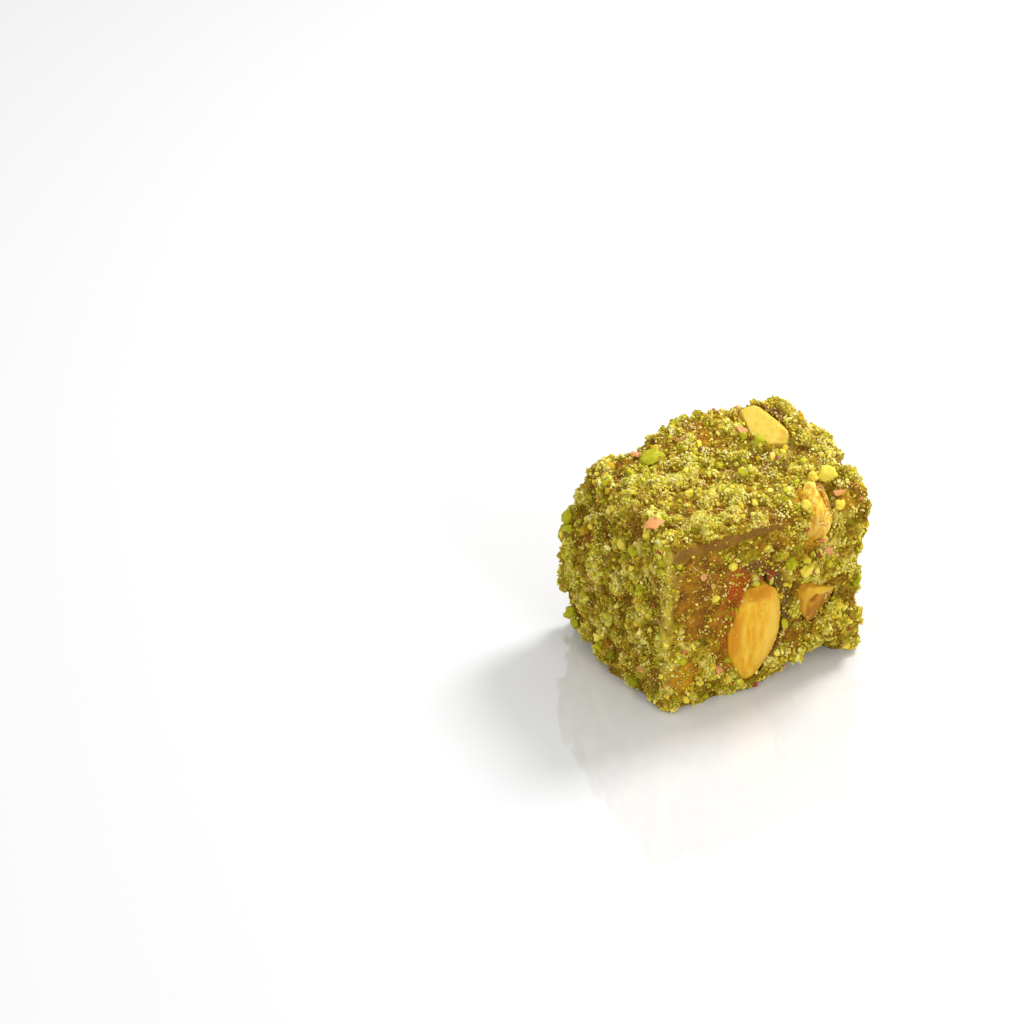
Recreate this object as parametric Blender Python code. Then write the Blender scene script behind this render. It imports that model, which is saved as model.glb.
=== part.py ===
"""A cube of Turkish delight (lokum) rolled in ground pistachio, with nut kernels that its cut faces show.

Metres, +Z up. The cube rests on its flat underside at z = 0, with its box centred on the Z axis. The front
face looks along -Y and the left face along -X.
"""

import math

import bmesh
import bpy
from mathutils import Matrix, Vector, noise
from mathutils.bvhtree import BVHTree

MM = 0.001
TURN = math.tau

# The jelly block, before it sags: a hand-cut cube.
LENGTH = 32.0 * MM
DEPTH = 24.4 * MM
HEIGHT = 26.4 * MM
EDGE_RADIUS = 2.3 * MM
CELLS_PER_SIDE = 20
EDGE_CROWDING = 0.5  # 0 spaces the grid evenly, 1 crowds it most towards the edges

# The lumpy coat: two sizes of lump, each with its width and its height.
LUMP_WIDTHS = (5.2 * MM, 2.1 * MM)
LUMP_HEIGHTS = (0.50 * MM, 0.30 * MM)
UNDERSIDE_BAND = 0.6 * MM  # what sags to within this height of the table lies flat on it

# Free space between a kernel and the pocket that holds it.
POCKET_GAP = 0.3 * MM

KERNEL_SEGMENTS = 20
KERNEL_RINGS = 12
TAPER_DEPTH = 0.45  # how much of its width a kernel that tapers fully loses at its lower tip
TAPER_POWER = 1.6  # above 1 keeps the taper near the tip
FLANK_THINNING = 0.12  # how much thinner a kernel is at its flanks than an ellipsoid

# How the block leans, bulges and caves in: where, how far it reaches, and the shift at its middle, in
# millimetres from the middle of the underside.
SAGS = (
    # the left face's far edge flares out at half height and at its foot
    ((-16.0, 11.0, 12.0), 7.5, (-3.0, 0.6, 0.0)),
    ((-16.0, 11.0, 2.0), 5.0, (-0.7, 0.0, 0.0)),
    # its far top corner slumps
    ((-16.0, 11.5, 26.0), 5.0, (0.8, -0.4, -0.7)),
    # its foot bulges half way back
    ((-16.0, 0.0, 1.0), 6.0, (-1.7, 0.0, 0.0)),
    # the near corner is pressed in a little all the way down
    ((-16.0, -12.2, 20.0), 6.0, (0.6, 0.0, 0.0)),
    ((-16.0, -12.2, 6.0), 6.0, (0.7, 0.0, 0.0)),
    # the top swells at the back and stands up at the far right corner
    ((1.0, 12.0, 26.0), 7.5, (0.0, 1.0, 2.2)),
    ((12.5, 12.0, 26.0), 5.0, (-0.2, 0.3, 1.0)),
    # the front face's top edge is worn off where a kernel crosses it
    ((9.0, -12.2, 26.4), 3.6, (0.0, 0.9, -1.1)),
    # the back face is hollow in the middle and swells low on its left
    ((1.0, 12.2, 12.0), 7.0, (0.0, -0.9, 0.0)),
    ((11.0, 12.2, 4.0), 5.0, (0.0, 0.7, 0.0)),
    # the top sinks across the middle
    ((1.0, 0.0, 26.0), 6.0, (0.0, 0.0, -0.9)),
    # the right face swells behind and draws in at its waist
    ((16.0, 4.0, 24.0), 6.0, (1.2, 0.0, 0.8)),
    ((16.0, -12.0, 12.0), 5.5, (-1.9, 0.3, 0.0)),
    # the front face's right foot is pulled back and lifts off the table
    ((8.0, -12.2, 0.0), 3.2, (0.0, 1.4, 2.4)),
    ((15.0, -12.2, 0.0), 5.0, (0.3, 0.9, 0.0)),
)

# Colours are linear red, green, blue.
COAT_COLOUR = (0.36, 0.30, 0.03)
ALMOND_COLOUR = (0.76, 0.42, 0.04)
PALE_COLOUR = (0.83, 0.62, 0.12)
AMBER_COLOUR = (0.55, 0.27, 0.02)
COAT_ROUGHNESS = 0.75
KERNEL_ROUGHNESS = 0.38

# How steeply the worn top edge of the front face slopes, where a kernel lies in it.
EDGE_SLOPE = 0.14 * TURN
EDGE_UP = Vector((0, math.cos(EDGE_SLOPE), math.sin(EDGE_SLOPE)))
EDGE_OUT = Vector((0, -math.sin(EDGE_SLOPE), math.cos(EDGE_SLOPE)))

# The axes of each face that holds a kernel: across it, up it, and out of it.
FACE_AXES = {
    "front": (Vector((1, 0, 0)), Vector((0, 0, 1)), Vector((0, -1, 0))),
    "back": (Vector((-1, 0, 0)), Vector((0, 0, 1)), Vector((0, 1, 0))),
    "right": (Vector((0, 1, 0)), Vector((0, 0, 1)), Vector((1, 0, 0))),
    "top": (Vector((1, 0, 0)), Vector((0, 1, 0)), Vector((0, 0, 1))),
    "front_edge": (Vector((1, 0, 0)), EDGE_UP, EDGE_OUT),
}

# Where each kernel shows: its name and face; a point near the surface; how deep its middle lies under the
# surface; and its lean to the right. Then its shape: its length, width and thickness; how much its lower end
# tapers; and where its upper end is snapped off, from 0 at the middle to 1 at the tip, with the slant of the
# break. Lengths are in millimetres and angles in degrees.
KERNELS = (
    ("almond_front", "front", (-1.6, -12.2, 9.3), 0.9, 7, (16.4, 8.2, 4.6), 0.75, 1.0, 0, ALMOND_COLOUR),
    ("kernel_top", "top", (10.3, 6.8, 26.0), 1.0, -6, (10.4, 5.0, 4.2), 0.35, 0.66, 25, PALE_COLOUR),
    ("kernel_edge", "front_edge", (8.6, -9.3, 23.4), 1.3, 24, (9.6, 4.6, 4.0), 0.4, 0.8, -20, PALE_COLOUR),
    ("kernel_chip", "front", (7.5, -12.2, 12.2), 0.8, 12, (8.6, 6.0, 3.6), 0.6, 0.36, 12, AMBER_COLOUR),
    ("kernel_back", "back", (-3.5, 12.2, 13.5), 1.4, 62, (12.0, 6.8, 4.6), 0.6, 0.8, 20, ALMOND_COLOUR),
    ("kernel_right", "right", (16.0, 2.5, 11.0), 1.2, -35, (9.4, 5.2, 4.2), 0.5, 0.7, -15, PALE_COLOUR),
)


def clear_scene():
    for obj in list(bpy.data.objects):
        bpy.data.objects.remove(obj)


def new_collection(name):
    collection = bpy.data.collections.new(name)
    bpy.context.scene.collection.children.link(collection)
    return collection


def new_material(name, colour, roughness):
    material = bpy.data.materials.new(name)
    material.use_nodes = True
    shader = material.node_tree.nodes["Principled BSDF"]
    shader.inputs["Base Color"].default_value = (*colour, 1.0)
    shader.inputs["Roughness"].default_value = roughness
    shader.inputs["Metallic"].default_value = 0.0
    material.diffuse_color = (*colour, 1.0)
    return material


def object_from_bmesh(name, bm, collection, parent):
    mesh = bpy.data.meshes.new(name)
    bm.to_mesh(mesh)
    bm.free()
    mesh.shade_smooth()
    obj = bpy.data.objects.new(name, mesh)
    collection.objects.link(obj)
    obj.parent = parent
    return obj


def crowded(value):
    """A grid coordinate from -1 to 1, moved towards the nearer edge."""
    return (1.0 - EDGE_CROWDING) * value + EDGE_CROWDING * math.sin(value * TURN / 4)


def rounded_box_point(unit):
    """A point of the cube from -1 to 1, carried onto a box with rounded edges that stands on z = 0."""
    half = Vector((LENGTH, DEPTH, HEIGHT)) / 2
    core = half - Vector((EDGE_RADIUS, EDGE_RADIUS, EDGE_RADIUS))
    on_box = Vector(crowded(unit[i]) * half[i] for i in range(3))
    inner = Vector(max(-core[i], min(core[i], on_box[i])) for i in range(3))
    return inner + (on_box - inner).normalized() * EDGE_RADIUS + Vector((0.0, 0.0, half.z))


def sagged(point):
    """The point after every lean, bulge and hollow of the block."""
    shift = Vector()
    for centre, reach, push in SAGS:
        distance = (point - Vector(centre) * MM).length
        shift += Vector(push) * MM * math.exp(-((distance / (reach * MM)) ** 2))
    return point + shift


def lump_height(point):
    """How far the coat stands out at a point, from its two sizes of lump."""
    return sum(
        height * noise.noise(point / width)
        for width, height in zip(LUMP_WIDTHS, LUMP_HEIGHTS)
    )


def make_block(collection, parent):
    """The jelly with its coat, as one solid on a flat underside, its box centred on the Z axis."""
    bm = bmesh.new()
    bmesh.ops.create_cube(bm, size=2.0)
    bmesh.ops.subdivide_edges(bm, edges=bm.edges[:], cuts=CELLS_PER_SIDE - 1, use_grid_fill=True)
    for vert in bm.verts:
        vert.co = sagged(rounded_box_point(vert.co))
    bm.normal_update()
    moves = {vert: vert.normal * lump_height(vert.co) for vert in bm.verts}
    for vert, move in moves.items():
        vert.co += move
        if vert.co.z < UNDERSIDE_BAND:
            vert.co.z = 0.0
    bmesh.ops.translate(bm, verts=bm.verts, vec=to_box_centre(vert.co for vert in bm.verts))
    return object_from_bmesh("lokum_block", bm, collection, parent)


def kernel_point(unit, length, width, thickness, point_share):
    """A point of the unit sphere, carried onto a kernel: long in Y, thick in Z, tapering towards -Y."""
    taper = 1.0 - point_share * TAPER_DEPTH * max(0.0, -unit.y) ** TAPER_POWER
    flank = 1.0 - FLANK_THINNING * abs(unit.x)
    half_width = width / 2 * taper
    half_thickness = thickness / 2 * taper * flank
    return Vector((unit.x * half_width, unit.y * length / 2, unit.z * half_thickness))


def kernel_bmesh(size, point_share, snap, slant, swell):
    """A nut kernel with its upper end snapped off, and its whole surface moved out by swell."""
    length, width, thickness = (side * MM for side in size)
    bm = bmesh.new()
    bmesh.ops.create_uvsphere(bm, u_segments=KERNEL_SEGMENTS, v_segments=KERNEL_RINGS, radius=1.0)
    bmesh.ops.rotate(bm, verts=bm.verts, matrix=Matrix.Rotation(TURN / 4, 3, "X"))
    for vert in bm.verts:
        vert.co = kernel_point(vert.co, length, width, thickness, point_share)
    bm.normal_update()
    moves = {vert: vert.normal * swell for vert in bm.verts}
    for vert, move in moves.items():
        vert.co += move
    if snap < 1.0:
        angle = math.radians(slant)
        facing = Vector((math.sin(angle), math.cos(angle), 0.0))
        middle = Vector((0.0, snap * length / 2, 0.0)) + facing * swell
        everything = bm.verts[:] + bm.edges[:] + bm.faces[:]
        cut = bmesh.ops.bisect_plane(
            bm, geom=everything, plane_co=middle, plane_no=facing, clear_outer=True
        )
        rim = [piece for piece in cut["geom_cut"] if isinstance(piece, bmesh.types.BMEdge)]
        bmesh.ops.edgeloop_fill(bm, edges=rim)
    bmesh.ops.recalc_face_normals(bm, faces=bm.faces[:])
    return bm


def block_tree(block):
    """The block's own faces, for finding where its surface lies."""
    points = [vert.co for vert in block.data.vertices]
    return BVHTree.FromPolygons(points, [face.vertices[:] for face in block.data.polygons])


def surface_point(tree, point, out):
    """Where a line through the point, along the face's outward axis, first meets the block."""
    hit = tree.ray_cast(point + out * HEIGHT, -out)[0]
    return hit if hit is not None else point


def kernel_placement(tree, face, point, depth, lean):
    """The matrix that lays a kernel into a face: its length up the face and its thickness out of it."""
    across, up, out = FACE_AXES[face]
    middle = surface_point(tree, Vector(point) * MM, out) - out * depth * MM
    axes = Matrix((across, up, out)).transposed().to_4x4()
    return Matrix.Translation(middle) @ axes @ Matrix.Rotation(math.radians(-lean), 4, "Z")


def make_kernel(entry, tree, block, parts, cutters, parent):
    """One kernel, and its pocket in the block."""
    name, face, point, depth, lean, size, point_share, snap, slant, colour = entry
    placement = kernel_placement(tree, face, point, depth, lean)
    kernel = object_from_bmesh(name, kernel_bmesh(size, point_share, snap, slant, 0.0), parts, parent)
    kernel.matrix_local = placement
    kernel.data.materials.append(new_material(name, colour, KERNEL_ROUGHNESS))
    pocket_shape = kernel_bmesh(size, point_share, snap, slant, POCKET_GAP)
    cutter = object_from_bmesh("pocket_" + name, pocket_shape, cutters, parent)
    cutter.matrix_local = placement
    cutter.hide_render = True
    cutter.display_type = "WIRE"
    pocket = block.modifiers.new("pocket_" + name, "BOOLEAN")
    pocket.operation = "DIFFERENCE"
    pocket.object = cutter


def to_box_centre(points):
    """The shift along X and Y that centres the points' box on the Z axis."""
    across, along = zip(*((point.x, point.y) for point in points))
    return Vector((-(min(across) + max(across)) / 2, -(min(along) + max(along)) / 2, 0.0))


def centre_on_origin(root, collection):
    """Centres the whole piece, kernels and all, on the Z axis."""
    bpy.context.view_layer.update()
    corners = [
        obj.matrix_world @ vert.co
        for obj in collection.objects
        if obj.type == "MESH"
        for vert in obj.data.vertices
    ]
    root.location = to_box_centre(corners)


def main():
    clear_scene()
    parts = new_collection("turkish_delight")
    cutters = new_collection("cutters")
    root = bpy.data.objects.new("lokum_origin", None)
    parts.objects.link(root)
    block = make_block(parts, root)
    block.data.materials.append(new_material("pistachio_coat", COAT_COLOUR, COAT_ROUGHNESS))
    tree = block_tree(block)
    for entry in KERNELS:
        make_kernel(entry, tree, block, parts, cutters, root)
    centre_on_origin(root, parts)


main()
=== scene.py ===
"""The looks of one cube of pistachio-coated Turkish delight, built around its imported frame.

Lengths inside the script are millimetres in the frame's own axes, and meshes are written in metres.
"""

import math

import bmesh
import bpy
import numpy as np
from mathutils import Matrix, Vector, noise
from mathutils.bvhtree import BVHTree
from mathutils.kdtree import KDTree


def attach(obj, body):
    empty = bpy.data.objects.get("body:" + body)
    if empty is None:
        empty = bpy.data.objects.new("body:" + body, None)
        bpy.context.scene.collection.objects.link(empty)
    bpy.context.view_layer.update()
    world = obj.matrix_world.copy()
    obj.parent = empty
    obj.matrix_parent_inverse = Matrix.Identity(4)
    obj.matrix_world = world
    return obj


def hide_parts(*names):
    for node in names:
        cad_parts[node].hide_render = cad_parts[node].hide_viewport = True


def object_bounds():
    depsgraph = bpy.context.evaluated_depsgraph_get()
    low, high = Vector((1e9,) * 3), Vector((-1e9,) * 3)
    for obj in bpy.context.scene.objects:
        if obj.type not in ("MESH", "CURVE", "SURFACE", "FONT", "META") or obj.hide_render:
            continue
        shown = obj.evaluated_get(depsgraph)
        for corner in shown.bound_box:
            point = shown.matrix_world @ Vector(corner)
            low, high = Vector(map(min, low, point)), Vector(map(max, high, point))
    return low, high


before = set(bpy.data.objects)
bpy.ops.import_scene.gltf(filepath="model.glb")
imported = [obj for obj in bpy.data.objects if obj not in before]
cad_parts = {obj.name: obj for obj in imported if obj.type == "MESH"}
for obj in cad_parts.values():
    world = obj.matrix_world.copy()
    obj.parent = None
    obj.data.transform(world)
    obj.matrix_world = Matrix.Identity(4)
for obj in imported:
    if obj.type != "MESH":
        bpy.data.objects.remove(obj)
CAD_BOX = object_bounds()

MM = 0.001
SEED = 20

# ---- Sizes ----

CORE_VOXEL = 0.25  # the core's grid, in mm
CORE_INSET = 0.62  # how far the core lies under the coat's outline
KERNEL_VOXEL = 0.2
KERNEL_SWELL = 0.1  # with the pocket's own swell, it fills most of the space left free round a kernel
POCKET_SWELL = 0.17
NUT_CLEARANCE = 0.15  # no grain lies nearer to a kernel than this
FOOT_CLEARANCE = 0.3  # or nearer to the table
OVERHANG = 0.45  # how far a grain may stand past the frame's box
LOWEST = 0.02  # a grain's lowest point
GRAIN_TEMPLATES = 24

# The photograph's view: how the camera stands to the cube.
VIEW_AZIMUTH = -27.9
VIEW_ELEVATION = 33.8
VIEW_DISTANCE = 600.0
VIEW_RIGHT = 27.4  # the cube stands this far right of the middle of the view
VIEW_DOWN = 17.0
LENS = 158.2
SENSOR = 36.0


def srgb(red, green, blue):
    """A display colour from 0 to 255, as linear red, green, blue and alpha."""
    def linear(value):
        share = value / 255
        return share / 12.92 if share <= 0.04045 else ((share + 0.055) / 1.055) ** 2.4
    return (linear(red), linear(green), linear(blue), 1.0)


def palette(*entries):
    """A ramp's stops, from entries that each give a share and a display colour."""
    return tuple((share, srgb(*colour)) for share, *colour in entries)


# ---- Fields over the surface ----

# Where the jelly shows through the coat: centre, reach along X, Y and Z, and how bare it is.
BARE_PATCHES = (
    # front face
    ((-9.4, -12.4, 17.0), (5.2, 4.0, 9.5), 0.85), ((-4.6, -12.4, 16.8), (3.2, 4.0, 5.0), 1.0),
    ((-6.0, -12.4, 8.5), (2.4, 4.0, 5.5), 0.75), ((-11.8, -12.4, 5.5), (3.2, 4.0, 4.0), 0.8),
    ((1.2, -12.2, 21.4), (5.4, 4.0, 3.2), 0.6), ((7.0, -12.2, 21.4), (2.0, 3.0, 2.8), 0.8),
    ((4.6, -12.2, 17.0), (1.6, 3.0, 3.6), 0.5), ((4.4, -12.2, 5.4), (2.6, 3.0, 2.4), 0.5),
    # top face
    ((11.7, -11.2, 25.4), (1.9, 2.6, 3.0), 0.8), ((6.6, -8.4, 26.8), (1.7, 2.6, 2.0), 0.7),
    ((2.5, 8.3, 27.0), (4.2, 3.0, 4.0), 0.5), ((-2.9, 0.4, 26.5), (3.6, 2.4, 4.0), 0.5),
    ((-5.7, -4.7, 26.5), (3.4, 2.0, 4.0), 0.5), ((12.9, 8.6, 27.5), (1.3, 2.2, 4.0), 1.0),
    ((8.1, -0.2, 26.5), (3.6, 1.4, 4.0), 0.55), ((3.4, 7.6, 26.5), (2.2, 1.6, 4.0), 0.8),
    ((-7.1, -6.2, 26.0), (2.4, 1.3, 4.0), 0.6), ((4.4, -9.1, 26.5), (2.0, 1.0, 3.0), 0.6),
    ((10.6, 1.8, 26.5), (1.4, 1.0, 3.0), 0.9), ((-10.2, 9.8, 26.0), (3.0, 2.4, 4.0), 0.55),
    # left face
    ((-15.8, 4.8, 11.6), (4.0, 2.4, 1.8), 0.8), ((-15.8, -7.4, 18.0), (4.0, 2.0, 2.4), 0.55),
    ((-15.8, -11.0, 12.0), (4.0, 2.4, 3.4), 0.36), ((-15.8, 1.0, 5.5), (4.0, 2.0, 2.8), 0.5),
    ((-15.2, -11.2, 22.5), (3.0, 3.0, 7.0), 0.34),
    # back face
    ((6.0, 12.4, 16.0), (4.0, 4.0, 5.5), 0.8), ((-10.5, 12.4, 8.0), (3.0, 4.0, 3.4), 0.75),
    # right face
    ((16.0, -4.5, 15.0), (4.0, 2.8, 4.6), 0.8), ((16.0, 7.0, 19.0), (4.0, 2.4, 2.2), 0.7),
)

# Honey-coloured nut under thin coat, by the kernel at the top edge and low on the front: centre, and reach.
HONEY_SPOTS = (
    ((11.7, -11.2, 25.4), (2.2, 2.8, 3.4)), ((6.6, -8.4, 26.8), (2.0, 2.8, 2.4)),
    ((7.0, -12.2, 21.4), (2.4, 3.0, 3.2)), ((-12.4, -12.0, 5.6), (2.4, 3.0, 3.2)),
)

# Bare spots where a dull mauve skin shows: centre, and reach.
MAUVE_SPOTS = (
    ((12.9, 8.6, 27.5), (1.6, 2.6, 4.0)), ((10.6, 1.8, 26.5), (1.6, 1.2, 3.0)),
    ((7.7, -0.2, 26.5), (2.6, 1.4, 4.0)), ((10.5, -3.3, 26.5), (1.4, 0.9, 3.0)),
    ((4.4, -9.1, 26.5), (1.8, 1.1, 3.0)), ((-4.0, 2.4, 26.0), (2.4, 1.4, 4.0)),
)

# Nut pieces that push up under the coat, beige and smooth: centre, and reach.
BEIGE_BUMPS = (
    ((-15.8, 4.8, 11.6), (4.0, 2.2, 1.6)), ((-15.8, -7.4, 18.0), (4.0, 1.4, 1.8)),
    ((-15.8, -11.0, 12.0), (4.0, 1.8, 2.6)), ((-15.2, -11.2, 22.5), (3.4, 3.4, 8.0)),
    ((-4.0, 12.4, 20.0), (2.4, 4.0, 1.8)), ((16.0, 7.0, 19.0), (4.0, 2.2, 1.8)),
)

# Hollows in the top: centre, reach and depth.
HOLLOWS = (
    ((11.1, -8.9, 27.0), (1.4, 2.6, 2.4), 0.9), ((2.5, 8.3, 27.0), (3.0, 2.2, 3.0), 0.5),
    ((-2.9, 0.4, 26.5), (2.6, 1.6, 3.0), 0.5), ((-5.7, -4.7, 26.5), (2.4, 1.2, 3.0), 0.4),
    ((12.9, 8.4, 27.5), (1.2, 2.0, 3.0), 0.6),
)

# The smooth ridge that the knife left along the front face's top edge: each line's start, end and reach.
RIDGES = (
    ((-14.0, -11.8, 23.9), (-12.2, -12.0, 24.7), 1.3), ((-12.2, -12.0, 24.7), (-9.0, -12.0, 24.9), 1.4),
    ((-9.0, -12.0, 24.9), (-4.9, -12.0, 24.5), 1.2), ((-4.9, -12.0, 24.5), (-0.6, -11.9, 24.7), 0.95),
    ((-0.6, -11.9, 24.7), (2.6, -12.0, 24.4), 0.75),
)

# The dark ring over and beside the large almond, likewise: bare dark jelly, deepened by painted shade.
RINGS = (
    ((-2.2, -12.2, 19.4), (0.6, -12.2, 18.4), 1.4), ((0.6, -12.2, 18.4), (2.7, -12.2, 14.0), 1.5),
    ((2.7, -12.2, 14.0), (2.6, -12.2, 9.0), 1.3), ((2.6, -12.2, 9.0), (1.4, -12.2, 5.0), 1.0),
)

# The rounded corner between the left face and the front, painted paler as a highlight where it catches the
# light, likewise.
HIGHLIGHT_CORNER = (
    ((-15.0, -10.7, 24.4), (-15.1, -10.6, 15.0), 1.9), ((-15.1, -10.6, 15.0), (-14.8, -10.9, 6.0), 1.7),
)


def smoothstep(low, high, value):
    share = np.clip((value - low) / (high - low), 0.0, 1.0)
    return share * share * (3.0 - 2.0 * share)


def in_blob(points, centre, reach):
    """1 at a blob's middle, falling to 0 at its edge."""
    distance = np.linalg.norm((points - np.array(centre)) / np.array(reach), axis=1)
    return smoothstep(1.0, 0.55, distance)


def near_line(points, start, end, reach):
    """1 on a line from start to end, falling to 0 at its reach."""
    start, end = np.array(start), np.array(end)
    along = end - start
    share = np.clip(((points - start) @ along) / (along @ along), 0.0, 1.0)
    distance = np.linalg.norm(points - (start + share[:, None] * along), axis=1) / reach
    return smoothstep(1.0, 0.5, distance)


def near_lines(points, lines):
    """1 on any of the lines, falling to 0 at its reach."""
    return np.max([near_line(points, *line) for line in lines], axis=0)


def noise_at(points, width, seed):
    """Smooth noise from -1 to 1 whose lumps are about as wide as width."""
    shift = Vector((seed * 17.3, seed * 5.1, seed * 9.7))
    return np.array([noise.noise(Vector(point) / width + shift) for point in points])


def cells_at(points, width, seed):
    """Rounded grains packed side by side: 1 at a grain's middle, about 0 between them."""
    shift = Vector((seed * 7.9, seed * 3.3, seed * 13.1))
    return np.array([1.0 - noise.voronoi(Vector(point) / width + shift)[0][0] for point in points])


def bareness(points):
    """How far the jelly shows at each point, from 0 to 1, with ragged edges."""
    bare = np.zeros(len(points))
    for centre, reach, strength in BARE_PATCHES:
        bare = np.maximum(bare, strength * in_blob(points, centre, reach))
    ragged = bare + 0.5 * noise_at(points, 2.0, seed=1) + 0.3 * noise_at(points, 0.8, seed=2)
    ragged = smoothstep(0.38, 0.62, ragged) * np.minimum(1.0, bare * 2.5)
    ridge = smoothstep(0.3, 0.75, near_lines(points, RIDGES) + 0.75 * noise_at(points, 0.9, seed=13))
    return np.clip(np.maximum.reduce([ragged, ridge, 0.8 * near_lines(points, RINGS)]), 0.0, 1.0)


# ---- Mesh helpers ----


def points_of(mesh):
    """A mesh's points in millimetres."""
    flat = np.empty(len(mesh.vertices) * 3)
    mesh.vertices.foreach_get("co", flat)
    return flat.reshape(-1, 3) / MM


def normals_of(mesh):
    """A mesh's normals, one for each point."""
    flat = np.empty(len(mesh.vertices) * 3)
    mesh.vertices.foreach_get("normal", flat)
    return flat.reshape(-1, 3)


def set_points(mesh, points):
    mesh.vertices.foreach_set("co", (points * MM).astype(np.float32).ravel())
    mesh.update()


def set_value(mesh, name, values):
    """A number for each point of the mesh, which a material reads by name."""
    attribute = mesh.attributes.new(name, "FLOAT", "POINT")
    attribute.data.foreach_set("value", np.asarray(values, np.float32))


def add_piece(name, mesh, material, slot, *nodes):
    """A piece of the cube: it rides on the one body, and stands for the CAD nodes named."""
    piece = bpy.data.objects.new(name, mesh)
    bpy.context.scene.collection.objects.link(piece)
    mesh.materials.clear()
    mesh.materials.append(material)
    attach(piece, "root")
    if nodes:
        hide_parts(*nodes)
    return piece


def remeshed(node, voxel, smoothing):
    """A CAD node's shape as a fine, even mesh."""
    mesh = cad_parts[node].data.copy()
    bm = bmesh.new()
    bm.from_mesh(mesh)
    bmesh.ops.remove_doubles(bm, verts=bm.verts, dist=1e-6)
    bm.to_mesh(mesh)
    bm.free()
    if "sharp_face" in mesh.attributes:
        mesh.attributes.remove(mesh.attributes["sharp_face"])
    work = bpy.data.objects.new("work", mesh)
    bpy.context.scene.collection.objects.link(work)
    remesh = work.modifiers.new("remesh", "REMESH")
    remesh.mode = "VOXEL"
    remesh.voxel_size = voxel * MM
    smooth = work.modifiers.new("smooth", "SMOOTH")
    smooth.factor = 0.5
    smooth.iterations = smoothing
    graph = bpy.context.evaluated_depsgraph_get()
    fine = bpy.data.meshes.new_from_object(work.evaluated_get(graph))
    bpy.data.objects.remove(work)
    fine.shade_smooth()
    return fine


def triangles_of(mesh):
    """A mesh's triangles, as three point indices each."""
    mesh.calc_loop_triangles()
    flat = np.empty(len(mesh.loop_triangles) * 3, np.int32)
    mesh.loop_triangles.foreach_get("vertices", flat)
    return flat.reshape(-1, 3)


# ---- Materials ----


BLACK = (0, 0, 0, 1)
WHITE = (1, 1, 1, 1)

# The Mix node's sockets when it mixes colours.
MIX_FACTOR, MIX_FIRST, MIX_SECOND, MIX_COLOUR = 0, 6, 7, 2


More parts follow.
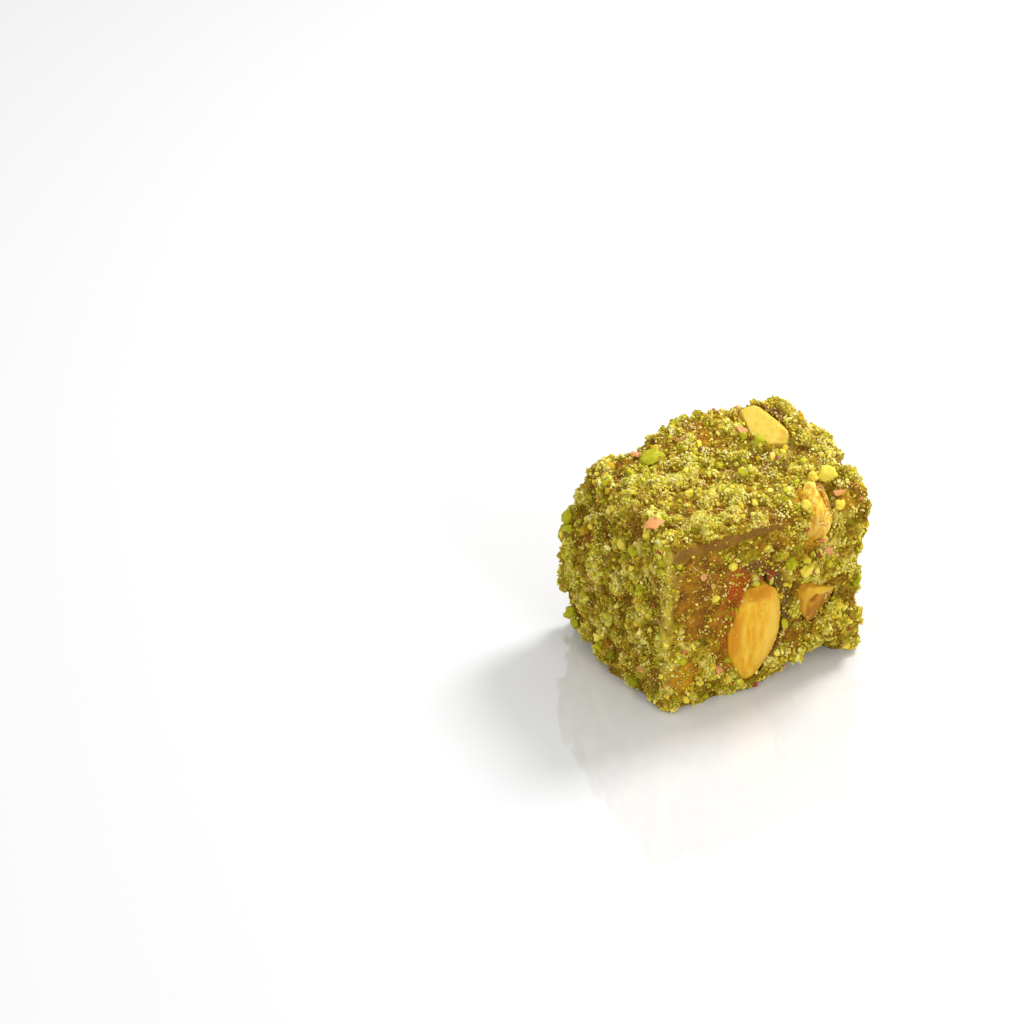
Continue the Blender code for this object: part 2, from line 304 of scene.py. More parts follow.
class Paint:
    """A Principled material and the nodes that feed it."""

    def __init__(self, name, roughness=0.6, subsurface=0.0, radius=(1.0, 0.6, 0.2), depth=1.0):
        self.material = bpy.data.materials.new(name)
        self.material.use_nodes = True
        self.tree = self.material.node_tree
        self.shader = self.tree.nodes["Principled BSDF"]
        self.set("Roughness", roughness)
        if subsurface:
            self.set("Subsurface Weight", subsurface)
            self.set("Subsurface Radius", radius)
            self.set("Subsurface Scale", depth * MM)

    def set(self, socket, value):
        self.shader.inputs[socket].default_value = value

    def feed(self, output, socket):
        self.tree.links.new(output, self.shader.inputs[socket])

    def node(self, kind, **settings):
        made = self.tree.nodes.new(kind)
        for key, value in settings.items():
            setattr(made, key, value)
        return made

    def place(self, stretch=(1.0, 1.0, 1.0), turn=(0.0, 0.0, 0.0)):
        """The point being shaded, in millimetres."""
        where = self.node("ShaderNodeTexCoord")
        mapping = self.node("ShaderNodeMapping")
        mapping.inputs["Scale"].default_value = [part / MM for part in stretch]
        mapping.inputs["Rotation"].default_value = turn
        self.tree.links.new(where.outputs["Object"], mapping.inputs["Vector"])
        return mapping.outputs["Vector"]

    def noise(self, width, detail=2.0, place=None):
        made = self.node("ShaderNodeTexNoise")
        made.inputs["Scale"].default_value = 1.0 / width
        made.inputs["Detail"].default_value = detail
        self.tree.links.new(place or self.place(), made.inputs["Vector"])
        return made.outputs["Fac"]

    def cells(self, width, place=None):
        made = self.node("ShaderNodeTexVoronoi")
        made.inputs["Scale"].default_value = 1.0 / width
        self.tree.links.new(place or self.place(), made.inputs["Vector"])
        return made.outputs["Distance"]

    def value(self, name):
        return self.node("ShaderNodeAttribute", attribute_name=name).outputs["Fac"]

    def ramp(self, factor, *stops):
        """A colour for each share of the factor. A stop is (share, colour)."""
        made = self.node("ShaderNodeValToRGB")
        elements = made.color_ramp.elements
        while len(elements) < len(stops):
            elements.new(0.5)
        for element, (share, colour) in zip(elements, stops):
            element.position = share
            element.color = colour
        self.tree.links.new(factor, made.inputs["Fac"])
        return made.outputs["Color"]

    def span(self, factor, low, high, to_low=0.0, to_high=1.0):
        """The factor, moved from the span low to high onto the span to_low to to_high."""
        made = self.node("ShaderNodeMapRange")
        sockets = {"From Min": low, "From Max": high, "To Min": to_low, "To Max": to_high}
        for socket, number in sockets.items():
            made.inputs[socket].default_value = number
        self.tree.links.new(factor, made.inputs["Value"])
        return made.outputs["Result"]

    def sum(self, first, second, share):
        """The first value plus a share of the second."""
        made = self.node("ShaderNodeMath", operation="MULTIPLY_ADD")
        self.tree.links.new(second, made.inputs[0])
        made.inputs[1].default_value = share
        self.tree.links.new(first, made.inputs[2])
        return made.outputs["Value"]

    def mix(self, factor, first, second):
        """The first colour, and the second as far as the factor says. Each is a value or a socket."""
        made = self.node("ShaderNodeMix", data_type="RGBA")
        for index, source in ((MIX_FACTOR, factor), (MIX_FIRST, first), (MIX_SECOND, second)):
            if isinstance(source, (int, float, tuple)):
                made.inputs[index].default_value = source
            else:
                self.tree.links.new(source, made.inputs[index])
        return made.outputs[MIX_COLOUR]

    def tinted(self, colour, tints):
        """The colour, mixed with each tint as far as the attribute of its name says."""
        for name, tint in tints.items():
            colour = self.mix(self.value(name), colour, srgb(*tint))
        return colour

    def bump(self, height, depth, strength=1.0):
        made = self.node("ShaderNodeBump")
        made.inputs["Strength"].default_value = strength
        made.inputs["Distance"].default_value = depth * MM
        self.tree.links.new(height, made.inputs["Height"])
        self.feed(made.outputs["Normal"], "Normal")


# The core's colours: the bare jelly, the tints that its attributes name, and the paste of ground pistachio.
JELLY = palette((0.3, 94, 52, 0), (0.5, 136, 86, 4), (0.72, 174, 122, 18))
# shade is painted shade round the large almond, over dark jelly; amber is partly painted shade in the hollow
# by kernel_edge, partly amber jelly.
UNDER_DUST = {"glow": (170, 60, 16), "beige": (176, 144, 62), "amber": (150, 84, 4), "shade": (76, 48, 38)}
OVER_DUST = {"mauve": (132, 98, 70), "ridge": (128, 92, 34), "honey": (190, 138, 26)}
# The paste's ramp runs from its lowest places to its tops: the dark low end is partly painted shade, partly
# the darker paste itself.
PASTE = palette((0.24, 104, 68, 4), (0.44, 166, 136, 26), (0.68, 196, 172, 58), (0.95, 222, 204, 112))


def core_material():
    """Jelly where it is bare, and a paste of ground pistachio where it is coated, with painted shade in its
    low places and a painted highlight on one corner.
    """
    paint = Paint("jelly_and_paste", subsurface=0.3, radius=(1.0, 0.5, 0.1), depth=1.4)
    bare = paint.value("bare")
    jelly = paint.tinted(paint.ramp(paint.noise(2.0, 4.0), *JELLY), UNDER_DUST)
    dust = paint.ramp(paint.noise(0.22, 2.0), (0.5, BLACK), (0.62, WHITE))
    jelly = paint.mix(paint.mix(0.3, BLACK, dust), jelly, srgb(196, 154, 56))
    jelly = paint.tinted(jelly, OVER_DUST)
    # Painted shade, partly the paste's own colour: the paste runs dark where the coat sits low and between
    # the cells of grains, and pale on their tops.
    relief = paint.sum(paint.value("relief"), paint.noise(0.4, 3.0), 0.7)
    relief = paint.sum(relief, paint.cells(0.36), -0.32)
    paste = paint.ramp(relief, *PASTE)
    green = paint.ramp(paint.noise(1.4, 3.0), (0.48, BLACK), (0.62, WHITE))
    paste = paint.mix(paint.mix(0.5, BLACK, green), paste, srgb(124, 124, 10))
    # Painted shade: the coat's low, thin patches are mixed toward brown.
    paste = paint.mix(paint.value("thin"), paste, srgb(116, 76, 14))
    # Painted highlight: the rounded corner by the front face is mixed toward pale yellow.
    coloured = paint.mix(paint.value("corner"), paint.mix(bare, paste, jelly), srgb(200, 174, 62))
    paint.feed(coloured, "Base Color")
    rough = paint.sum(paint.span(bare, 0.0, 1.0, 0.7, 0.34), paint.noise(0.6, 2.0), 0.14)
    paint.feed(rough, "Roughness")
    paint.set("Specular IOR Level", 0.1)
    fine = paint.sum(paint.cells(0.34), paint.noise(0.16, 3.0), 0.8)
    paint.bump(fine, 0.26, 0.9)
    return paint.material


def grain_material(name, stops, roughness):
    """Broken nut: each grain has its own tone, mottled across its faces."""
    paint = Paint(name, roughness=roughness, subsurface=0.4, radius=(1.0, 0.8, 0.2), depth=0.6)
    paint.set("Specular IOR Level", 0.14)
    tone = paint.sum(paint.value("tone"), paint.noise(0.28, 3.0), 0.35)
    paint.feed(paint.ramp(tone, *stops), "Base Color")
    paint.feed(paint.span(paint.noise(0.2, 2.0), 0.3, 0.7, roughness - 0.12, roughness + 0.15), "Roughness")
    paint.bump(paint.noise(0.12, 3.0), 0.07, 0.8)
    return paint.material


SKIN_RIM = srgb(110, 46, 10)
KERNEL_SMOOTHEST, KERNEL_ROUGHEST = 0.28, 0.54


def kernel_material(name, stops, lean):
    """A kernel soaked in syrup: faint streaks along it, pores, and a trace of skin at its rim."""
    paint = Paint(name, subsurface=0.3, radius=(1.0, 0.5, 0.1), depth=1.2)
    paint.set("Specular IOR Level", 0.22)
    streaks = paint.noise(1.0, 3.0, paint.place((1.6, 1.6, 0.28), (0.0, math.radians(lean), 0.0)))
    tone = paint.sum(streaks, paint.noise(0.5, 3.0), 0.25)
    colour = paint.ramp(tone, *stops)
    # deep and pale tint the kernel toward its darkest and palest colours: mostly its own colour, with painted
    # shade along kernel_edge's deep groove and a painted highlight on the almond's lower middle.
    colour = paint.mix(paint.value("deep"), colour, stops[0][1])
    colour = paint.mix(paint.value("pale"), colour, stops[-1][1])
    colour = paint.mix(paint.value("rim"), colour, SKIN_RIM)
    paint.feed(colour, "Base Color")
    paint.feed(paint.span(paint.noise(0.7, 3.0), 0.3, 0.7, KERNEL_SMOOTHEST, KERNEL_ROUGHEST), "Roughness")
    paint.bump(paint.sum(streaks, paint.noise(0.22, 3.0), 0.35), 0.1, 0.3)
    return paint.material


# ---- Kernels ----

ALMOND_STOPS = palette((0.3, 190, 122, 2), (0.55, 206, 152, 18), (0.85, 218, 180, 58))
PALE_STOPS = palette((0.1, 202, 146, 16), (0.5, 206, 176, 58), (0.9, 214, 190, 92))
AMBER_STOPS = palette((0.3, 150, 92, 0), (0.55, 168, 116, 0), (0.85, 200, 160, 34))
EDGE_STOPS = palette((0.3, 166, 104, 2), (0.5, 206, 152, 20), (0.75, 232, 206, 92))

# Each kernel's name; its record slot; its colours; the lean of its streaks in degrees; how deep its streaks
# and its broken facets are; planes that trim it, each a direction and a depth; and grooves along it, each a
# start, an end, a half width, a depth, and how far it darkens the kernel, or lightens it if below 0.
KERNELS = (
    (
        "almond_front", "almond", ALMOND_STOPS, 7.0, 0.015, 0.0,
        (
            ((-0.22, 0.0, 0.97), 1.4), ((0.6, 0.0, 0.8), 0.8), ((-0.3, -0.6, 0.75), 0.6),
            ((-0.95, 0.0, 0.3), 0.4), ((-0.86, 0.0, -0.5), 0.5), ((0.8, 0.0, -0.6), 0.7),
        ),
        (
            ((-0.2, -13.3, 16.2), (-3.2, -13.3, 4.6), 0.8, 0.12, 0.0),
            ((-2.6, -13.2, 14.4), (0.4, -13.2, 13.7), 0.3, 0.22, 0.7),
            ((-2.4, -13.0, 15.9), (-0.4, -13.0, 15.9), 1.7, 0.02, 0.9),
            ((-5.0, -13.0, 12.0), (-5.4, -13.0, 7.0), 1.5, 0.0, 0.8),
            # Painted highlight: the almond's lower middle is lightened.
            ((1.0, -13.3, 12.6), (-1.4, -13.3, 5.4), 1.6, 0.0, -0.5),
        ),
    ),
    (
        "kernel_top", "pale_kernel", PALE_STOPS, -6.0, 0.01, 0.25,
        (
            ((-0.32, -0.2, 0.92), 1.1), ((-0.05, -0.75, 0.66), 1.1), ((0.6, 0.0, 0.8), 0.5),
            ((-0.9, 0.1, 0.3), 0.5), ((0.95, 0.2, 0.1), 0.4), ((-0.2, -0.95, 0.1), 0.5),
            ((0.1, 0.95, 0.2), 0.4),
        ),
        (
            ((8.2, 5.6, 28.2), (11.4, 4.8, 28.2), 0.35, 0.12, -0.6),
            ((10.4, 2.6, 27.4), (11.4, 3.8, 27.6), 0.9, 0.03, 0.7),
            ((8.4, 2.2, 26.4), (10.0, 2.2, 26.4), 1.2, 0.04, 0.9),
        ),
    ),
    (
        "kernel_edge", "pale_kernel", EDGE_STOPS, 24.0, 0.05, 0.5,
        (
            ((0.7, -0.1, 0.7), 1.0), ((0.9, -0.3, 0.3), 0.7), ((0.2, -0.6, 0.75), 0.6),
            ((-0.6, -0.2, 0.8), 0.4),
        ),
        (
            # Painted shade, partly amber nut: kernel_edge darkens along its deep groove, in the pocket beside
            # it.
            ((10.0, -7.2, 26.6), (10.8, -11.6, 24.6), 1.6, 0.6, 1.0),
            ((8.9, -6.6, 27.5), (7.8, -12.2, 26.4), 0.8, -0.08, -0.9),
            ((6.8, -12.6, 23.4), (6.8, -12.6, 20.4), 2.0, 0.05, 0.45),
        ),
    ),
    (
        "kernel_chip", "amber_kernel", AMBER_STOPS, 12.0, 0.02, 0.2,
        (
            ((-0.1, -0.6, 0.8), 0.35), ((-0.8, -0.2, -0.55), 0.4), ((0.85, -0.2, -0.5), 0.4),
            ((-0.5, -0.85, -0.1), 0.35), ((0.4, -0.85, -0.35), 0.5),
        ),
        (
            ((9.6, -12.6, 12.5), (7.0, -12.8, 12.8), 0.34, 0.34, 1.0),
            ((7.0, -12.8, 12.8), (5.9, -12.8, 11.2), 0.34, 0.3, 1.0),
            ((7.3, -12.8, 9.6), (8.4, -12.8, 11.4), 2.0, 0.04, 0.8),
            ((5.2, -12.8, 12.4), (6.2, -12.8, 13.6), 0.9, -0.06, -0.7),
            ((7.2, -12.8, 13.5), (9.2, -12.8, 13.0), 0.7, -0.08, -1.0),
        ),
    ),
    (
        "kernel_back", "almond", ALMOND_STOPS, 62.0, 0.03, 0.2,
        (((-0.7, 0.3, 0.6), 0.6),),
        (((-6.5, 12.8, 11.5), (0.4, 12.8, 15.5), 0.7, 0.14, 0.2),),
    ),
    (
        "kernel_right", "pale_kernel", PALE_STOPS, -35.0, 0.04, 0.4,
        (((0.4, 0.7, 0.6), 0.6),),
        (((17.6, 0.8, 8.6), (17.6, 5.0, 13.0), 0.5, 0.2, 0.4),),
    ),
)


def long_axis(points):
    """The direction in which the points reach furthest, as a unit vector that points up."""
    spread = points - points.mean(axis=0)
    axis = np.linalg.eigh(spread.T @ spread)[1][:, -1]
    return axis if axis[2] >= 0 else -axis


FACETS = 9
FULL_GROOVE = 0.5  # where grooves cross, they grow no deeper than about this


def faceted(points, centre, depth, rng):
    """The points, shaved by a few planes that reach depth under the surface, as a broken nut is."""
    for _ in range(FACETS):
        facing = rng.normal(size=3)
        facing /= np.linalg.norm(facing)
        height = (points - centre) @ facing
        limit = height.max() - depth * rng.uniform(0.4, 1.4)
        points = points - np.maximum(height - limit, 0.0)[:, None] * facing
    return points


def make_kernel(index, name, slot, stops, lean, streak, facet, cuts, grooves):
    """A kernel from its node: swelled, broken and trimmed, then wrinkled along its length and grooved."""
    rng = np.random.default_rng(SEED + index)
    mesh = remeshed(name, KERNEL_VOXEL, 2)
    points = points_of(mesh) + normals_of(mesh) * KERNEL_SWELL
    centre = points.mean(axis=0)
    axis = long_axis(points)
    if facet:
        points = faceted(points, centre, facet, rng)
    for facing, depth in cuts:
        facing = np.array(facing) / np.linalg.norm(facing)
        height = (points - centre) @ facing
        points = points - np.maximum(height - (height.max() - depth), 0.0)[:, None] * facing
    set_points(mesh, points)
    out = normals_of(mesh)
    along = (points - centre) @ axis
    across = points - centre - along[:, None] * axis
    bent = across * 1.7 + along[:, None] * axis * 0.22
    wrinkle = noise_at(bent, 1.0, seed=30 + index) + 0.5 * noise_at(bent, 0.45, seed=40 + index)
    pits = noise_at(points, 0.5, seed=50 + index)
    groove = np.zeros(len(points))
    deep = np.zeros(len(points))
    for start, end, half_width, depth, tint in grooves:
        share = near_line(points, start, end, half_width)
        groove += depth * share * (1.0 - np.clip(groove / FULL_GROOVE, 0.0, 1.0))
        deep = np.where(np.abs(tint * share) > np.abs(deep), tint * share, deep)
    points = points + out * (streak * wrinkle + 0.02 * pits - groove)[:, None]
    set_points(mesh, points)
    set_value(mesh, "rim", rim_of(name, points, centre, axis, along))
    set_value(mesh, "deep", np.maximum(deep, 0.0))
    set_value(mesh, "pale", np.maximum(-deep, 0.0))
    return add_piece(name + "_piece", mesh, kernel_material(name, stops, lean), slot, name)


def rim_of(name, points, centre, axis, along):
    """Where a trace of brown skin is left: along the large almond's right side and at its point."""
    if name != "almond_front":
        return np.zeros(len(points))
    sideways = np.array((axis[2], 0.0, -axis[0]))
    side = (points - centre) @ sideways
    half_length = np.abs(along).max()
    outline = side.max() * np.sqrt(np.clip(1.0 - (along / half_length) ** 2, 0.0, 1.0))
    share = along / half_length
    right = smoothstep(0.86, 1.0, side / np.maximum(outline, 0.3)) * smoothstep(-0.3, 0.1, share)
    tip = smoothstep(-0.86, -1.0, share)
    ragged = 0.5 + noise_at(points, 0.9, seed=61)
    return np.clip((right + tip) * ragged, 0.0, 1.0)


kernels = [make_kernel(index, *entry) for index, entry in enumerate(KERNELS)]

# ---- Core ----


KERNEL_REACH = 2.0  # how far round a kernel the core is measured from it
TILE_FILL = 0.44  # half the share of a baking tile that is painted

# How high the coat's layers stand, in mm.
SWELL = 0.34  # broad, soft swells
PATCHES = 0.45  # thick patches against thin ones
CLUMPS = 0.65  # clumps of meal
GRAINS_THIN, GRAINS_THICK = 0.1, 0.34  # single grains, and how much more they stand in thick coat
GRIT = 0.07
FOLDS = 0.5  # upright folds down the left face
JELLY_RISE, JELLY_SWELL, JELLY_GRIT = 0.16, 0.14, 0.04  # the same for the bare jelly
HIGHEST = 0.75  # above this, the coat's height is squeezed to a share of itself
SQUEEZE = 0.3
UNDERSIDE_LIFT = 0.12  # between its clumps, the underside is this far off the table


def distance_to_kernels(points):
    """How far each point is from the nearest kernel's surface, up to KERNEL_REACH."""
    found = np.full(len(points), KERNEL_REACH)
    for kernel in kernels:
        skin = points_of(kernel.data)
        low, high = skin.min(axis=0) - KERNEL_REACH, skin.max(axis=0) + KERNEL_REACH
        near = np.flatnonzero(((points > low) & (points < high)).all(axis=1))
        tree = KDTree(len(skin))
        for index, point in enumerate(skin):
            tree.insert(point, index)
        tree.balance()
        gaps = np.array([tree.find(points[index])[2] for index in near])
        found[near] = np.minimum(found[near], gaps)
    return found


def box_chart(mesh):
    """A map of the core for baking: one tile for each of the six sides, in three columns and two rows."""
    points = points_of(mesh)
    middle = (points.min(axis=0) + points.max(axis=0)) / 2
    half = (points.max(axis=0) - points.min(axis=0)) / 2
    polygons = len(mesh.polygons)
    centres = np.empty(polygons * 3)
    mesh.polygons.foreach_get("center", centres)
    centres = (centres.reshape(-1, 3) / MM - middle) / half
    side = np.abs(centres).argmax(axis=1)
    sign = np.take_along_axis(centres, side[:, None], 1)[:, 0] > 0
    totals = np.empty(polygons, np.int32)
    mesh.polygons.foreach_get("loop_total", totals)
    corners = np.empty(len(mesh.loops), np.int32)
    mesh.loops.foreach_get("vertex_index", corners)
    side, sign = np.repeat(side, totals), np.repeat(sign, totals)
    unit = (points[corners] - middle) / half
    first = np.where(side == 0, unit[:, 1], unit[:, 0])
    second = np.where(side == 2, unit[:, 1], unit[:, 2])
    u = (side + 0.5 + TILE_FILL * first) / 3
    v = (sign + 0.5 + TILE_FILL * second) / 2
    layer = mesh.uv_layers.new(name="OFBake")
    layer.data.foreach_set("uv", np.stack([u, v], axis=1).astype(np.float32).ravel())


def make_core():
    """The jelly block under its coat: the CAD outline drawn in, then raised again by clumps of pistachio."""
    mesh = remeshed("lokum_block", CORE_VOXEL, 3)
    outline = points_of(mesh)
    out = normals_of(mesh)
    gap = distance_to_kernels(outline)
    pocket = smoothstep(1.0, 0.35, gap)
    bare = bareness(outline)
    patch = smoothstep(-0.3, 0.3, noise_at(outline, 3.4, seed=9) + 0.5 * noise_at(outline, 1.6, seed=10))
    clump = smoothstep(-0.1, 0.3, noise_at(outline, 1.9, seed=3) + 0.5 * noise_at(outline, 0.9, seed=4))
    thick = (1.0 - bare) * (0.3 + 0.7 * patch)
    grains = 0.6 * cells_at(outline, 0.95, seed=5) + 0.4 * cells_at(outline, 0.55, seed=6)
    ground = noise_at(outline, 0.36, seed=7)
    soft = noise_at(outline, 2.4, seed=8)
    upright = np.array((1.0, 1.0, 0.36))
    folds = noise_at(outline * upright, 2.1, seed=12) * smoothstep(-11.0, -14.0, outline[:, 0])
    grain_height = GRAINS_THIN + GRAINS_THICK * thick * (0.4 + 0.6 * clump)
    coat = SWELL * soft + PATCHES * (patch - 0.5) + CLUMPS * thick * clump
    coat = coat + grain_height * grains + GRIT * ground
    jelly = JELLY_RISE + JELLY_SWELL * soft + JELLY_GRIT * ground
    raised = FOLDS * folds + (1.0 - bare) * coat + bare * jelly
    for centre, reach, depth in HOLLOWS:
        raised = raised - depth * in_blob(outline, centre, reach)
    raised = np.minimum(raised, HIGHEST + SQUEEZE * (raised - HIGHEST))
    raised = (raised - CORE_INSET) * (1.0 - pocket) + POCKET_SWELL * pocket
    underside = smoothstep(0.45, 0.05, outline[:, 2])
    raised = raised * (1.0 - underside)
    points = outline + out * raised[:, None]
    points[:, 2] = np.maximum(points[:, 2], UNDERSIDE_LIFT * underside * (1.0 - clump))
    set_points(mesh, points)
    bumps = np.max([in_blob(outline, *bump) for bump in BEIGE_BUMPS], axis=0)
    ring = near_lines(outline, RINGS)
    ragged = 0.65 + 0.6 * noise_at(outline, 0.9, seed=11)
    glow = 0.85 * in_blob(outline, (-3.3, -12.4, 17.7), (3.2, 4.0, 3.6))
    glow = glow + 0.55 * in_blob(outline, (-5.4, -12.4, 12.0), (2.2, 4.0, 5.4))
    glow = glow + 0.4 * in_blob(outline, (-3.6, -12.4, 16.0), (1.6, 4.0, 2.4))
    mauve = np.max([in_blob(outline, *spot) for spot in MAUVE_SPOTS], axis=0)
    honey = np.max([in_blob(outline, *spot) for spot in HONEY_SPOTS], axis=0)
    ridge = near_lines(outline, RIDGES)
    corner = near_lines(outline, HIGHLIGHT_CORNER)
    for name, values in {
        "bare": bare,
        # Painted highlight on the rounded corner by the front face.
        "corner": corner * np.clip(0.65 + 0.9 * noise_at(outline, 1.1, seed=17), 0.0, 0.95),
        # Painted shade: relief drives the paste darker in the coat's low places and paler on its clumps and
        # grains.
        "relief": np.clip(0.55 * thick * clump + 0.5 * grains - 0.1 * (1.0 - patch), 0.0, 1.0),
        "glow": np.clip(glow * ragged, 0.0, 0.9),
        "shade": np.clip(ring * (ragged + 0.2), 0.0, 0.95),
        "mauve": mauve * 0.8,
        "honey": honey * np.clip(0.8 + 0.5 * noise_at(outline, 1.0, seed=16), 0.0, 1.0),
        "ridge": ridge * np.clip(0.75 + 0.5 * noise_at(outline, 1.4, seed=15), 0.0, 0.9),
        # Painted shade: the low patches where the coat is thin are darkened toward brown.
        "thin": (1.0 - patch) * (0.42 + 0.4 * noise_at(outline, 1.2, seed=14)),
        "beige": bumps * 0.8,
        # Painted shade, partly amber jelly: the hollow beside kernel_edge.
        "amber": in_blob(outline, (11.1, -8.9, 27.0), (2.0, 3.2, 2.8)),
    }.items():
        set_value(mesh, name, values)
    box_chart(mesh)
    core = add_piece("jelly_core", mesh, core_material(), "coated_jelly", "lokum_block")
    fields = {"points": points, "out": out, "bare": bare, "clump": clump, "thick": thick, "gap": gap}
    return core, {**fields, "clean": ridge, "corner": corner}


core, field = make_core()

# ---- Grains ----

core_triangles = triangles_of(core.data)
corners = field["points"][core_triangles]
core_tree = BVHTree.FromPolygons(field["points"].tolist(), core_triangles.tolist())
first_edges, second_edges = corners[:, 1] - corners[:, 0], corners[:, 2] - corners[:, 0]
core_areas = np.linalg.norm(np.cross(first_edges, second_edges), axis=1) / 2


def blended(values, weights):
    """The values at spots inside triangles, from each triangle's three corners and each spot's weights."""
    return (values * weights.reshape(weights.shape + (1,) * (values.ndim - 2))).sum(axis=1)


def clear(spots):
    """Which of the spots are clear of the kernels and of the table."""
    return (spots["gap"] > NUT_CLEARANCE) & (spots["points"][:, 2] > FOOT_CLEARANCE)


def scattered(rng, count, chance):
    """Random spots on the core, as many as count. chance gives each spot's share of staying."""
    kept = []
    total = 0
    while total < count:
        tries = max(2000, 3 * (count - total))
        face = rng.choice(len(core_triangles), tries, p=core_areas / core_areas.sum())
        first, second = rng.random(tries), rng.random(tries)
        turned = first + second > 1.0
        first[turned], second[turned] = 1.0 - first[turned], 1.0 - second[turned]
        weights = np.stack([1.0 - first - second, first, second], axis=1)
        spot = {key: blended(values[core_triangles[face]], weights) for key, values in field.items()}
        stays = (rng.random(tries) < chance(spot)) & clear(spot)
        kept.append({key: values[stays] for key, values in spot.items()})
        total += int(stays.sum())
    joined = {key: np.concatenate([part[key] for part in kept])[:count] for key in field}
    joined["out"] /= np.linalg.norm(joined["out"], axis=1, keepdims=True)
    return joined


def ball_of(subdivisions):
    """A ball 1 across, as its points and its faces."""
    bm = bmesh.new()
    bmesh.ops.create_icosphere(bm, subdivisions=subdivisions, radius=0.5)
    ball = np.array([vert.co[:] for vert in bm.verts])
    faces = np.array([[vert.index for vert in face.verts] for face in bm.faces])
    bm.free()
    return ball, faces


def grain_templates(rng, subdivisions, rough, planes):
    """Shapes of broken nut, 1 long: a ball made uneven and shaved by planes. They share one list of faces."""
    ball, faces = ball_of(subdivisions)
    shapes = []
    for index in range(GRAIN_TEMPLATES):
        lumps = noise_at(ball, 0.42, seed=100 + index) + 0.5 * noise_at(ball, 0.18, seed=200 + index)
        shape = ball * (1.0 + rough * lumps)[:, None]
        for _ in range(planes):
            facing = rng.normal(size=3)
            facing /= np.linalg.norm(facing)
            height = shape @ facing
            shape = shape - np.maximum(height - rng.uniform(0.2, 0.36), 0.0)[:, None] * facing
        shape *= np.array((1.0, rng.uniform(0.65, 1.0), rng.uniform(0.6, 1.0)))
        shapes.append(shape / np.ptp(shape, axis=0).max())
    return np.array(shapes), faces, ball


def turned_to(normals, rng, tilt):
    """Rotations that stand a grain's Z on each normal, leaning by up to tilt and spun at random."""
    lean = normals + rng.normal(size=normals.shape) * tilt
    lean /= np.linalg.norm(lean, axis=1, keepdims=True)
    side = np.cross(lean, rng.normal(size=normals.shape))
    side /= np.linalg.norm(side, axis=1, keepdims=True)
    return np.stack([side, np.cross(lean, side), lean], axis=2)


def grain_chart(mesh, ball, faces, count):
    """A map of the grains for baking: each has its own square, with its top in the middle."""
    columns = math.ceil(math.sqrt(count))
    angle = np.arccos(np.clip(ball[:, 2] / 0.5, -1.0, 1.0)) / math.pi
    heading = np.arctan2(ball[:, 1], ball[:, 0])
    spot = 0.5 + 0.46 * angle[:, None] * np.stack([np.cos(heading), np.sin(heading)], axis=1)
    cell = np.stack([np.arange(count) % columns, np.arange(count) // columns], axis=1)
    uv = (cell[:, None, None, :] + spot[faces][None]) / columns
    layer = mesh.uv_layers.new(name="OFBake")
    layer.data.foreach_set("uv", uv.astype(np.float32).ravel())


def joined_grains(name, templates, spots, sizes, lift, tones, rng, material, tilt, sharp):
    """One mesh of many grains, each a turned and scaled template."""
    shapes, faces, ball = templates
    count = len(sizes)
    turns = turned_to(spots["out"], rng, tilt)
    chosen = shapes[rng.integers(len(shapes), size=count)]
    local = chosen * sizes[:, None, None]
    placed = np.einsum("gij,gkj->gki", turns, local)
    placed += (spots["points"] + spots["out"] * (lift * sizes + spots["heap"])[:, None])[:, None, :]
    low, high = (np.array(corner) / MM for corner in CAD_BOX)
    placed = np.clip(placed, low - OVERHANG, high + OVERHANG)
    placed[:, :, 2] = np.maximum(placed[:, :, 2], LOWEST)
    per_grain = shapes.shape[1]
    indices = faces[None] + (np.arange(count) * per_grain)[:, None, None]
    mesh = bpy.data.meshes.new(name)
    mesh.from_pydata((placed.reshape(-1, 3) * MM).tolist(), [], indices.reshape(-1, 3).tolist())
    grain_chart(mesh, ball, faces, count)
    set_value(mesh, "tone", np.repeat(tones, per_grain))
    mesh.shade_smooth()
    mesh.set_sharp_from_angle(angle=math.radians(sharp))
    add_piece(name, mesh, material, "coated_jelly")


def gathered(rng, count, chance, share, reach, heap):
    """Spots heaped in clumps: share of them are clump middles, and the rest lie about reach from one."""
    middles = scattered(rng, max(1, int(count * share)), chance)
    owner = rng.integers(len(middles["points"]), size=count)
    offset = rng.normal(size=(count, 3)) * reach
    near = middles["points"][owner] + offset
    spots = {"points": np.empty((count, 3)), "out": np.empty((count, 3))}
    corner = np.empty(count, np.int64)
    for index, point in enumerate(near):
        place, normal, face, _ = core_tree.find_nearest(Vector(point))
        spots["points"][index] = place
        spots["out"][index] = normal
        corner[index] = core_triangles[face][0]
    spots.update({key: values[corner] for key, values in field.items() if key not in spots})
    spots["heap"] = heap * rng.random(count) * np.exp(-((offset ** 2).sum(axis=1)) / (2.0 * reach ** 2))
    stays = clear(spots)
    return {key: values[stays] for key, values in spots.items()}


def placed_at(positions):
    """The spots on the core nearest to the positions."""
    points, normals = zip(*(core_tree.find_nearest(Vector(position))[:2] for position in positions))
    return {"points": np.array(points), "out": np.array(normals)}


# How much of the cream meal lies on each kernel: its place in KERNELS, and its share of the grains.
KERNEL_DUST = ((0, 0.006), (1, 0.003), (2, 0.022), (3, 0.008), (4, 0.006), (5, 0.006))
TOP_KERNELS = (1, 2)  # these are dusted from above, and the others from their own side


